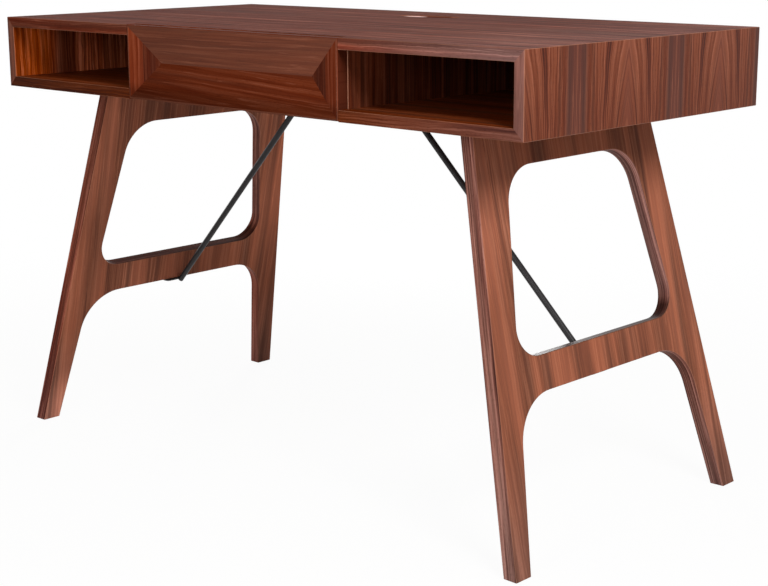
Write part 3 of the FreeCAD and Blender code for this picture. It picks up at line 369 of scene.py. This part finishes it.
def rosewood_frame(name, seed, side, edge, low_edge, window_edge, rear, front, rail, sill):
    """Rosewood on a leg frame: upright grain on its faces, and edge strips whose grain follows the edge.

    side is -1 on the left and 1 on the right. edge is the strips' tint, low_edge their painted lightness low
    down and window_edge the painted light on the window's rear edge. rear and front are the legs' painted
    light and shade, rail is the rail's, and sill is the painted shade on edges that look up.
    """
    material, tree = new_material(name)
    up = (-side * math.sin(FRAME_TILT), 0, math.cos(FRAME_TILT))
    inwards = (-side * math.cos(FRAME_TILT), 0, -math.sin(FRAME_TILT))
    backwards = (0, 1, 0)
    where = add(tree, "ShaderNodeTexCoord")
    height, depth, width = (
        add(tree, "ShaderNodeVectorMath", {0: where["Object"], 1: tuple(MM * c for c in way)},
            operation="DOT_PRODUCT")["Value"]
        for way in (up, inwards, backwards))
    facing = add(tree, "ShaderNodeVectorMath", {0: where["Normal"], 1: inwards},
                 operation="DOT_PRODUCT")["Value"]
    facing = add(tree, "ShaderNodeMath", {0: facing}, operation="ABSOLUTE")[0]
    on_edge = add(tree, "ShaderNodeMath", {0: facing, 1: 0.6}, operation="LESS_THAN")[0]
    run = add(tree, "ShaderNodeMath", {0: height, 1: width}, operation="ADD")[0]
    along = add(tree, "ShaderNodeMix", {0: on_edge, 2: height, 3: run}, data_type="FLOAT")[0]
    across = add(tree, "ShaderNodeMix", {0: on_edge, 2: width, 3: depth}, data_type="FLOAT")[0]
    wave = add(tree, "ShaderNodeMath", {0: on_edge, 1: -3.0, 2: 5.0}, operation="MULTIPLY_ADD")[0]
    contrast = add(tree, "ShaderNodeMath", {0: on_edge, 1: 0.3, 2: 1.6}, operation="MULTIPLY_ADD")[0]
    grain = add(tree, "ShaderNodeGroup", {
        "Along": along, "Across": across, "Seed": seed, "Wave": wave, "Cool": 0.4, "Contrast": contrast},
        node_tree=figure)
    # Orange and grey brown bands, some 40 mm wide, run up the faces.
    band_place = add(tree, "ShaderNodeCombineXYZ", {0: along, 1: across, 2: seed})[0]
    band_place = add(tree, "ShaderNodeVectorMath", {0: band_place, 1: (1 / 600, 1 / 40, 1), 2: (0, 0, 0.7)},
                     operation="MULTIPLY_ADD")[0]
    band_field = add(tree, "ShaderNodeTexNoise", {"Vector": band_place, "Scale": 1.0, "Detail": 1.0})[0]
    band = add(tree, "ShaderNodeMapRange", {0: band_field, 1: 0.38, 2: 0.62, 3: 0.0, 4: 1.0})[0]
    ground = add(tree, "ShaderNodeMix", {0: band, 6: linear("#6e463b"), 7: linear("#b36750")},
                 data_type="RGBA")[2]
    faces = add(tree, "ShaderNodeMix", {0: 0.5, 6: grain["Color"], 7: ground}, data_type="RGBA")[2]
    # The edge strips are cut from other leaves, with a colour of their own, and their lightness differs
    # between the two frames as painted light.
    strips = add(tree, "ShaderNodeHueSaturation", {
        "Hue": edge.hue, "Saturation": edge.saturation, "Value": edge.value, "Color": grain["Color"]})[0]
    # Painted light: the window's rear edge, which looks forward, is paler and greyer.
    look = add(tree, "ShaderNodeSeparateXYZ", {0: where["Normal"]})
    forward = add(tree, "ShaderNodeMapRange", {0: look["Y"], 1: -0.3, 2: -0.6, 3: 0.0, 4: 1.0})[0]
    behind = add(tree, "ShaderNodeMapRange", {0: width, 1: 100.0, 2: 150.0, 3: 0.0, 4: forward})[0]
    in_window = add(tree, "ShaderNodeMapRange", {0: height, 1: 190.0, 2: 230.0, 3: 0.0, 4: behind})[0]
    strips = add(tree, "ShaderNodeHueSaturation", {
        "Saturation": 0.86, "Value": window_edge, "Fac": in_window, "Color": strips})[0]
    bodied = add(tree, "ShaderNodeMix", {0: on_edge, 6: faces, 7: strips}, data_type="RGBA")[2]
    # Painted light and shade: the rail changes from front to rear, and the crown above it, under the case,
    # has its own.
    on_rail = add(tree, "ShaderNodeMapRange", {0: width, 1: -170.0, 2: 60.0, 3: rail.front, 4: rail.rear})[0]
    on_face = add(tree, "ShaderNodeMapRange", {0: height, 1: 250.0, 2: 400.0, 3: on_rail, 4: rail.crown})[0]
    # Painted light and shade: each leg has its own lightness below one height, above another and at the foot.
    for way, leg in ((1.0, rear), (-1.0, front)):
        on_leg = add(tree, "ShaderNodeMapRange", {0: width, 1: way * 120.0, 2: way * 175.0},
                     interpolation_type="SMOOTHSTEP")[0]
        at_foot = add(tree, "ShaderNodeMapRange", {0: height, 1: -20.0, 2: -100.0, 3: leg.below, 4: leg.foot},
                      interpolation_type="SMOOTHSTEP")[0]
        high = add(tree, "ShaderNodeMapRange", {
            0: height, 1: leg.start, 2: leg.end, 3: at_foot, 4: leg.above},
            interpolation_type="SMOOTHSTEP")[0]
        on_face = add(tree, "ShaderNodeMix", {0: on_leg, 2: on_face, 3: high}, data_type="FLOAT")[0]
    # Painted light: the edge strips are lighter or darker low down.
    on_strip = add(tree, "ShaderNodeMapRange", {0: height, 1: 380.0, 2: 160.0, 3: 1.0, 4: low_edge},
                   interpolation_type="SMOOTHSTEP")[0]
    shade = add(tree, "ShaderNodeMix", {0: on_edge, 2: on_face, 3: on_strip}, data_type="FLOAT")[0]
    # Painted shade: edges that look up are darker. The wood also greys a little towards the floor.
    upwards = add(tree, "ShaderNodeMapRange", {0: look["Z"], 1: 0.3, 2: 0.6, 3: 1.0, 4: sill})[0]
    shade = add(tree, "ShaderNodeMath", {0: shade, 1: upwards}, operation="MULTIPLY")[0]
    hue = add(tree, "ShaderNodeMath", {0: on_edge, 1: -0.005, 2: 0.505}, operation="MULTIPLY_ADD")[0]
    greyed = add(tree, "ShaderNodeMapRange", {0: height, 1: 60.0, 2: -130.0, 3: 0.97, 4: 0.86})[0]
    bodied = add(tree, "ShaderNodeHueSaturation", {
        "Hue": hue, "Saturation": greyed, "Value": shade, "Color": bodied})[0]
    # Painted highlight: the rounded arris between a face and an edge is made pale.
    slant = add(tree, "ShaderNodeMath", {0: facing, 1: 0.6}, operation="SUBTRACT")[0]
    slant = add(tree, "ShaderNodeMath", {0: slant}, operation="ABSOLUTE")[0]
    arris_highlight_share = add(tree, "ShaderNodeMapRange", {0: slant, 1: 0.38, 2: 0.25, 3: 0.0, 4: 0.25})[0]
    colour = add(tree, "ShaderNodeMix", {0: arris_highlight_share, 6: bodied, 7: linear(ARRIS_HIGHLIGHT)}, data_type="RGBA")[2]
    lacquer(tree, colour, grain["Height"], shine=0.02)
    return material


def rosewood_drawer_front():
    """Rosewood on the four facets: grain along the upper and lower ones, upright on the two at the ends."""
    material, tree = new_material("rosewood_drawer_front")
    where = add(tree, "ShaderNodeTexCoord")
    split = add(tree, "ShaderNodeSeparateXYZ", {0: where["Object"]})
    look = add(tree, "ShaderNodeSeparateXYZ", {0: where["Normal"]})
    x = add(tree, "ShaderNodeMath", {0: split["X"], 1: MM}, operation="MULTIPLY")[0]
    z = add(tree, "ShaderNodeMath", {0: split["Z"], 1: MM, 2: -CASE_MIDDLE}, operation="MULTIPLY_ADD")[0]
    sideways = add(tree, "ShaderNodeMath", {0: look["X"]}, operation="ABSOLUTE")[0]
    at_end = add(tree, "ShaderNodeMath", {0: sideways, 1: 0.12}, operation="GREATER_THAN")[0]
    low = add(tree, "ShaderNodeMath", {0: look["Z"], 1: 0.1}, operation="GREATER_THAN")[0]
    # The lower facet's veneer lies a few degrees off level.
    slope = add(tree, "ShaderNodeMath", {0: low, 1: 0.04}, operation="MULTIPLY")[0]
    level = add(tree, "ShaderNodeMath", {0: x, 1: slope, 2: z}, operation="MULTIPLY_ADD")[0]
    from_middle = add(tree, "ShaderNodeMath", {0: x}, operation="ABSOLUTE")[0]
    along = add(tree, "ShaderNodeMix", {0: at_end, 2: x, 3: z}, data_type="FLOAT")[0]
    across = add(tree, "ShaderNodeMix", {0: at_end, 2: level, 3: from_middle}, data_type="FLOAT")[0]
    seed = add(tree, "ShaderNodeMath", {0: low, 1: 2.0, 2: 31.0}, operation="MULTIPLY_ADD")[0]
    seed = add(tree, "ShaderNodeMath", {0: at_end, 1: 5.0, 2: seed}, operation="MULTIPLY_ADD")[0]
    contrast = add(tree, "ShaderNodeMath", {0: at_end, 1: 0.65, 2: 0.65}, operation="MULTIPLY_ADD")[0]
    grain = add(tree, "ShaderNodeGroup", {
        "Along": along, "Across": across, "Seed": seed, "Wave": 3.0, "Cool": 0.4, "Contrast": contrast},
        node_tree=figure)
    # The end facets are joined from a light outer strip and a darker inner one, 217 mm from the middle.
    outer = add(tree, "ShaderNodeMath", {0: from_middle, 1: 217.0}, operation="GREATER_THAN")[0]
    light = add(tree, "ShaderNodeMix", {0: 0.45, 6: grain["Color"], 7: linear("#6e2917")},
                data_type="RGBA")[2]
    dark = add(tree, "ShaderNodeMix", {0: 0.65, 6: grain["Color"], 7: linear("#3b1611")}, data_type="RGBA")[2]
    ends = add(tree, "ShaderNodeMix", {0: outer, 6: dark, 7: light}, data_type="RGBA")[2]
    # The upper facet, which looks down towards the pale floor, is a greyer brown, in part a painted
    # reflection, and the lower one red.
    grey = add(tree, "ShaderNodeMix", {0: 0.48, 6: grain["Color"], 7: linear("#6a463b")}, data_type="RGBA")[2]
    red = add(tree, "ShaderNodeMix", {0: 0.5, 6: grain["Color"], 7: linear("#4a1506")}, data_type="RGBA")[2]
    long_facets = add(tree, "ShaderNodeMix", {0: low, 6: grey, 7: red}, data_type="RGBA")[2]
    facets = add(tree, "ShaderNodeMix", {0: at_end, 6: long_facets, 7: ends}, data_type="RGBA")[2]
    # Painted shade: it darkens towards its lower edge.
    painted_lower_shade = add(tree, "ShaderNodeMapRange", {0: z, 1: -30.0, 2: -50.0, 3: 1.0, 4: 0.62},
               interpolation_type="SMOOTHSTEP")[0]
    # Painted light: the long facets grow lighter to the right, and of the two at the ends the left one is the
    # lighter.
    left_shade = add(tree, "ShaderNodeMix", {0: at_end, 2: 0.96, 3: 1.13}, data_type="FLOAT")[0]
    right_shade = add(tree, "ShaderNodeMix", {0: at_end, 2: 1.08, 3: 0.96}, data_type="FLOAT")[0]
    shade = add(tree, "ShaderNodeMapRange", {0: x, 1: -180.0, 2: 160.0, 3: left_shade, 4: right_shade})[0]
    shade = add(tree, "ShaderNodeMath", {0: painted_lower_shade, 1: shade}, operation="MULTIPLY")[0]
    facets = add(tree, "ShaderNodeHueSaturation", {"Value": shade, "Color": facets})[0]
    # Its top face is as grey as the desk top.
    on_top = add(tree, "ShaderNodeMath", {0: look["Z"], 1: 0.9}, operation="GREATER_THAN")[0]
    top_share = add(tree, "ShaderNodeMath", {0: on_top, 1: 0.7}, operation="MULTIPLY")[0]
    facets = add(tree, "ShaderNodeMix", {0: top_share, 6: facets, 7: linear("#693a2c")}, data_type="RGBA")[2]
    # Painted shade: the sides of the board are dark, as in the shade of the case's top.
    on_side = add(tree, "ShaderNodeMath", {0: sideways, 1: 0.9}, operation="GREATER_THAN")[0]
    painted_shade_share = add(tree, "ShaderNodeMath", {0: on_side, 1: 0.8}, operation="MULTIPLY")[0]
    colour = add(tree, "ShaderNodeMix", {0: painted_shade_share, 6: facets, 7: linear("#3f170c")}, data_type="RGBA")[2]
    lacquer(tree, colour, grain["Height"], shine=0.004)
    return material


def powder_coat():
    """Black powder coat on steel: a dark satin grey, a little broken by its orange-peel skin of 1.5 mm."""
    material, tree = new_material("black_powder_coat")
    where = add(tree, "ShaderNodeTexCoord")
    peel = add(tree, "ShaderNodeTexNoise", {"Vector": where["Object"], "Scale": MM / 1.5, "Detail": 2.0})[0]
    colour = add(tree, "ShaderNodeValToRGB", {0: peel}, stops=[(0.35, "#282728"), (0.65, "#343233")])[0]
    rough = add(tree, "ShaderNodeMapRange", {0: peel, 1: 0.3, 2: 0.7, 3: 0.3, 4: 0.38})[0]
    normal = add(tree, "ShaderNodeBump", {"Height": peel, "Strength": 0.05, "Distance": 0.0002})[0]
    shader = add(tree, "ShaderNodeBsdfPrincipled", {
        "Base Color": colour, "Roughness": rough, "IOR": 1.5, "Specular IOR Level": 0.15,
        "Normal": normal})[0]
    add(tree, "ShaderNodeOutputMaterial", {"Surface": shader})
    return material


def black_oxide():
    """Blackened screws: dark grey steel with a thin oily film, mottled at about a millimetre."""
    material, tree = new_material("black_oxide_steel")
    where = add(tree, "ShaderNodeTexCoord")
    mottle = add(tree, "ShaderNodeTexNoise", {"Vector": where["Object"], "Scale": MM / 1.0, "Detail": 3.0})[0]
    colour = add(tree, "ShaderNodeValToRGB", {0: mottle}, stops=[(0.3, "#1b1b1d"), (0.7, "#303134")])[0]
    rough = add(tree, "ShaderNodeMapRange", {0: mottle, 1: 0.3, 2: 0.7, 3: 0.3, 4: 0.5})[0]
    shader = add(tree, "ShaderNodeBsdfPrincipled", {
        "Base Color": colour, "Roughness": rough, "Metallic": 0.8})[0]
    add(tree, "ShaderNodeOutputMaterial", {"Surface": shader})
    return material


def zinc_plate():
    """Bright zinc on rolled steel: pale bluish metal with faint rolling streaks along the rails.

    The streaks are 60 mm long and 0.8 mm wide, and the zinc's bloom has clouds of 9 mm.
    """
    material, tree = new_material("bright_zinc_plate")
    where = add(tree, "ShaderNodeTexCoord")
    streak_place = add(tree, "ShaderNodeMapping", {
        "Vector": where["Object"], "Scale": (MM / 0.8, MM / 60, MM / 0.8)})[0]
    streak = add(tree, "ShaderNodeTexNoise", {"Vector": streak_place, "Scale": 1.0, "Detail": 2.0})[0]
    bloom = add(tree, "ShaderNodeTexNoise", {"Vector": where["Object"], "Scale": MM / 9, "Detail": 2.0})[0]
    tone = 0.0
    for pattern in (streak, bloom):
        tone = add(tree, "ShaderNodeMath", {0: pattern, 1: 0.5, 2: tone}, operation="MULTIPLY_ADD")[0]
    colour = add(tree, "ShaderNodeValToRGB", {0: tone}, stops=[(0.38, "#a9adb3"), (0.62, "#cfd2d4")])[0]
    rough = add(tree, "ShaderNodeMapRange", {0: tone, 1: 0.35, 2: 0.65, 3: 0.4, 4: 0.26})[0]
    shader = add(tree, "ShaderNodeBsdfPrincipled", {
        "Base Color": colour, "Roughness": rough, "Metallic": 1.0})[0]
    add(tree, "ShaderNodeOutputMaterial", {"Surface": shader})
    return material


def natural_nylon():
    """Natural nylon rollers and glides: milky off-white, a little waxy, with a mould texture of 5 mm."""
    material, tree = new_material("natural_nylon")
    where = add(tree, "ShaderNodeTexCoord")
    cloud = add(tree, "ShaderNodeTexNoise", {"Vector": where["Object"], "Scale": MM / 5, "Detail": 3.0})[0]
    colour = add(tree, "ShaderNodeValToRGB", {0: cloud}, stops=[(0.3, "#d8d4c8"), (0.7, "#e9e6dc")])[0]
    normal = add(tree, "ShaderNodeBump", {"Height": cloud, "Strength": 0.1, "Distance": 0.0002})[0]
    shader = add(tree, "ShaderNodeBsdfPrincipled", {
        "Base Color": colour, "Roughness": 0.48, "IOR": 1.53, "Normal": normal})[0]
    add(tree, "ShaderNodeOutputMaterial", {"Surface": shader})
    return material


def grey_rubber():
    """Soft rubber pads: dark grey and dull, with a dusty bloom in specks of 2 mm."""
    material, tree = new_material("grey_rubber")
    where = add(tree, "ShaderNodeTexCoord")
    dust = add(tree, "ShaderNodeTexNoise", {"Vector": where["Object"], "Scale": MM / 2, "Detail": 3.0})[0]
    colour = add(tree, "ShaderNodeValToRGB", {0: dust}, stops=[(0.3, "#2a2a2a"), (0.7, "#3d3c3b")])[0]
    shader = add(tree, "ShaderNodeBsdfPrincipled", {"Base Color": colour, "Roughness": 0.8, "IOR": 1.52})[0]
    add(tree, "ShaderNodeOutputMaterial", {"Surface": shader})
    return material


def pale_beech(name, grain_ways):
    """Clear lacquered beech for the drawer box and the joinery: pinkish straw with short brown ray flecks.

    Its bands are 14 mm wide, and its flecks 4 mm long and 0.6 mm wide.
    """
    material, tree = new_material(name)
    where = add(tree, "ShaderNodeTexCoord")
    along, across = (
        add(tree, "ShaderNodeVectorMath", {0: where["Object"], 1: way}, operation="DOT_PRODUCT")["Value"]
        for way in grain_ways)
    place = add(tree, "ShaderNodeCombineXYZ", {0: along, 1: across})[0]
    band_place = add(tree, "ShaderNodeVectorMath", {0: place, 1: (1 / 400, 1 / 14, 0)},
                     operation="MULTIPLY")[0]
    band = add(tree, "ShaderNodeTexNoise", {"Vector": band_place, "Scale": 1.0, "Detail": 3.0})[0]
    fleck_place = add(tree, "ShaderNodeVectorMath", {0: place, 1: (1 / 4, 1 / 0.6, 0)},
                      operation="MULTIPLY")[0]
    fleck_field = add(tree, "ShaderNodeTexNoise", {"Vector": fleck_place, "Scale": 1.0, "Detail": 0.0})[0]
    fleck = add(tree, "ShaderNodeMapRange", {0: fleck_field, 1: 0.62, 2: 0.72, 3: 0.0, 4: 0.5})[0]
    straw = add(tree, "ShaderNodeValToRGB", {0: band}, stops=[
        (0.35, "#b98d62"), (0.5, "#c89c70"), (0.66, "#d6ae83")])[0]
    colour = add(tree, "ShaderNodeMix", {0: fleck, 6: straw, 7: linear("#96683f")}, data_type="RGBA")[2]
    normal = add(tree, "ShaderNodeBump", {"Height": fleck_field, "Strength": 0.08, "Distance": 0.0002})[0]
    shader = add(tree, "ShaderNodeBsdfPrincipled", {
        "Base Color": colour, "Roughness": 0.5, "IOR": 1.5, "Specular IOR Level": 0.35,
        "Normal": normal})[0]
    add(tree, "ShaderNodeOutputMaterial", {"Surface": shader})
    return material


# Case
dress(rosewood_top(), "top_panel")
dress(rosewood_flat("rosewood_bottom", seed=11.0), "bottom_panel")
dress(rosewood_flat("rosewood_back", seed=17.0), "back_panel")
dress(rosewood_upright("rosewood_divider", seed=23.0), "divider_left", "divider_right")
dress(rosewood_end(), "side_panel_left", "side_panel_right")

# Leg frames
left_frame = rosewood_frame(
    "rosewood_frame_left", seed=52.0, side=-1, edge=StripTint(hue=0.495, saturation=0.97, value=0.95),
    low_edge=1.4, window_edge=1.25,
    rear=LegShade(start=40.0, end=280.0, below=1.0, above=1.7, foot=0.8),
    front=LegShade(start=240.0, end=400.0, below=0.86, above=1.42, foot=1.5),
    rail=RailShade(front=1.4, rear=0.92, crown=0.92), sill=0.35)
right_frame = rosewood_frame(
    "rosewood_frame_right", seed=57.0, side=1, edge=StripTint(hue=0.497, saturation=0.8, value=1.45),
    low_edge=0.74, window_edge=1.45,
    rear=LegShade(start=330.0, end=450.0, below=1.22, above=1.05, foot=0.95),
    front=LegShade(start=240.0, end=440.0, below=1.0, above=1.8, foot=0.95),
    rail=RailShade(front=1.05, rear=1.03, crown=0.98), sill=0.3)
dress(left_frame, "leg_frame_left")
dress(right_frame, "leg_frame_right")

# Drawer
dress(rosewood_drawer_front(), "drawer_front")
dress(pale_beech("beech_drawer_sides", GRAIN_FRONT_TO_BACK), "drawer_side_left", "drawer_side_right")
dress(pale_beech("beech_drawer_ends", GRAIN_ALONG_DESK), "drawer_inner_front", "drawer_back", "drawer_bottom")
dress(grey_rubber(), "drawer_bumpers")

# Joinery, ironwork, slides and glides
dress(pale_beech("beech_joinery", GRAIN_FRONT_TO_BACK), "divider_dowels", *(
    "corner_spline_%s_%s" % (level, side) for level in ("top", "bottom") for side in SIDES))
dress(powder_coat(), "tie_rod_left", "tie_rod_right", *(
    "frame_bracket_%s_%s" % (side, end) for side in SIDES for end in ENDS))
dress(black_oxide(), "tie_rod_top_screws", "tie_rod_foot_screws", "frame_bracket_screws")
dress(zinc_plate(), "back_panel_screws", "drawer_front_screws", "case_rail_screws", "drawer_rail_screws", *(
    "%s_%s" % (piece, side) for piece in ("case_rail", "drawer_rail", "case_roller_pin", "drawer_roller_pin")
    for side in SIDES))
dress(natural_nylon(), *(
    "%s_%s" % (piece, side) for piece in ("case_roller", "drawer_roller") for side in SIDES), *(
    "floor_glide_%s_%s" % (side, end) for side in SIDES for end in ENDS))


def share_seen(tree):
    """1 for what the eye sees, also in metal and through glass, and 0 for what lights other things."""
    ray = add(tree, "ShaderNodeLightPath")
    seen = add(tree, "ShaderNodeMath", {0: ray["Is Camera Ray"], 1: ray["Is Glossy Ray"]},
               operation="MAXIMUM")[0]
    return add(tree, "ShaderNodeMath", {0: seen, 1: ray["Is Transmission Ray"]}, operation="MAXIMUM")[0]


def pale_floor():
    """A pale floor, white to the eye, that keeps a faint shadow near the desk."""
    bpy.ops.object.select_all(action="DESELECT")
    bpy.ops.mesh.primitive_plane_add(size=30.0)
    floor = bpy.context.object
    floor.name = "floor"
    material, tree = new_material("pale_floor")
    seen = share_seen(tree)
    where = add(tree, "ShaderNodeTexCoord")
    away = add(tree, "ShaderNodeVectorMath", {0: where["Object"]}, operation="LENGTH")["Value"]
    share = add(tree, "ShaderNodeMapRange", {0: away, 1: 0.6, 2: 2.2, 3: 0.95, 4: 1.0},
                interpolation_type="SMOOTHSTEP")[0]
    white = add(tree, "ShaderNodeMath", {0: seen, 1: share}, operation="MULTIPLY")[0]
    lit = add(tree, "ShaderNodeBsdfDiffuse", {"Color": linear("#f4f3f1")})[0]
    glow = add(tree, "ShaderNodeEmission", {"Color": (1, 1, 1, 1), "Strength": 1.0})[0]
    mixed = add(tree, "ShaderNodeMixShader", {0: white, 1: lit, 2: glow})[0]
    add(tree, "ShaderNodeOutputMaterial", {"Surface": mixed})
    floor.data.materials.append(material)


def studio_air():
    """White to the eye and in reflections, and an even soft light for everything else."""
    world = bpy.data.worlds.new("studio_air")
    world.use_nodes = True
    tree = world.node_tree
    tree.nodes.clear()
    seen = share_seen(tree)
    soft = add(tree, "ShaderNodeBackground", {"Color": linear("#fbfaf8"), "Strength": 0.35})[0]
    white = add(tree, "ShaderNodeBackground", {"Color": (1, 1, 1, 1), "Strength": 1.0})[0]
    mixed = add(tree, "ShaderNodeMixShader", {0: seen, 1: soft, 2: white})[0]
    add(tree, "ShaderNodeOutputWorld", {"Surface": mixed})
    bpy.context.scene.world = world


def soft_box(name, place, aim, size, power):
    """A square soft light, turned from its place to its aim."""
    light = bpy.data.lights.new(name, "AREA")
    light.shape = "SQUARE"
    light.size = size
    light.energy = power
    lamp = bpy.data.objects.new(name, light)
    bpy.context.scene.collection.objects.link(lamp)
    lamp.location = place
    lamp.rotation_euler = (Vector(place) - Vector(aim)).to_track_quat("Z", "Y").to_euler()


def studio_camera(place, pan, tilt, roll, lens):
    """A long lens, turned left by pan and down by tilt, in degrees."""
    camera = bpy.data.cameras.new("camera")
    camera.lens = lens
    camera.sensor_width = 36.0
    camera.sensor_fit = "HORIZONTAL"
    holder = bpy.data.objects.new("camera", camera)
    bpy.context.scene.collection.objects.link(holder)
    turn = (Matrix.Rotation(math.radians(pan), 4, "Z")
            @ Matrix.Rotation(math.radians(90 - tilt), 4, "X")
            @ Matrix.Rotation(math.radians(roll), 4, "Z"))
    holder.matrix_world = Matrix.Translation(place) @ turn
    bpy.context.scene.camera = holder


pale_floor()
studio_air()
soft_box("key_soft_box", place=(2.54, -1.03, 2.25), aim=(0.2, -0.1, 0.6), size=1.0, power=68.0)
soft_box("fill_soft_box", place=(0.5, -1.6, 1.0), aim=(0.0, -0.3, 0.55), size=0.5, power=5.5)
soft_box("back_soft_box", place=(-1.6, 1.9, 0.5), aim=(-0.1, 0.2, 0.5), size=0.5, power=26.0)
studio_camera(place=(1.93094, -1.98741, 0.92907), pan=43.287, tilt=13.007, roll=-0.273, lens=75.15)
bpy.context.scene.view_settings.view_transform = "Standard"
